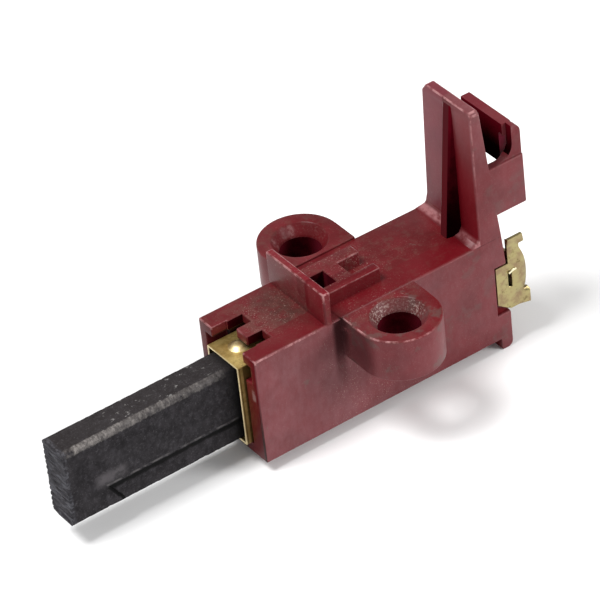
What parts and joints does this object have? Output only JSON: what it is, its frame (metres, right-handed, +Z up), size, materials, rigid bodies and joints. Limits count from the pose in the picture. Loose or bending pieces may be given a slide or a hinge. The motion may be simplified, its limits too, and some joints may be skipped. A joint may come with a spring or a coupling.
{
  "type": "carbon brush holder",
  "caption": "Moulded holder with screw ears and a brass guide; a spring presses the carbon block out of its mouth.",
  "frame": {"origin": "midway between the two screw holes, level with the undersides of the ears", "axes": "+X from the carbon's wearing face towards the rear terminal, -Y towards the side that carries the terminal, +Z up through the ears, out of the screw-head seats"},
  "size_m": [0.075, 0.035, 0.0413],
  "materials": {
    "moulding": "dusty maroon thermoset moulding",
    "guide_brass": "satin rolled brass sheet",
    "terminal_brass": "pale plated brass sheet, slightly tarnished",
    "carbon": "matt pressed carbon graphite, rubbed edges",
    "spring_steel": "drawn spring wire",
    "copper_braid": "bare stranded copper braid"
  },
  "bodies": {
    "holder": {"holder_body": "moulding", "brush_guide": "guide_brass", "rear_terminal": "terminal_brass", "pressure_spring": "spring_steel", "shunt_lead": "copper_braid"},
    "carbon": {"carbon_block": "carbon"}
  },
  "joints": [
    {"name": "carbon_slide", "type": "slide", "parent": "holder", "child": "carbon", "axis": [1, 0, 0], "range_m": [0, 0.024], "stiffness_N_per_m": 60, "springref_m": -0.02, "deforming": ["pressure_spring", "shunt_lead"]}
  ]
}
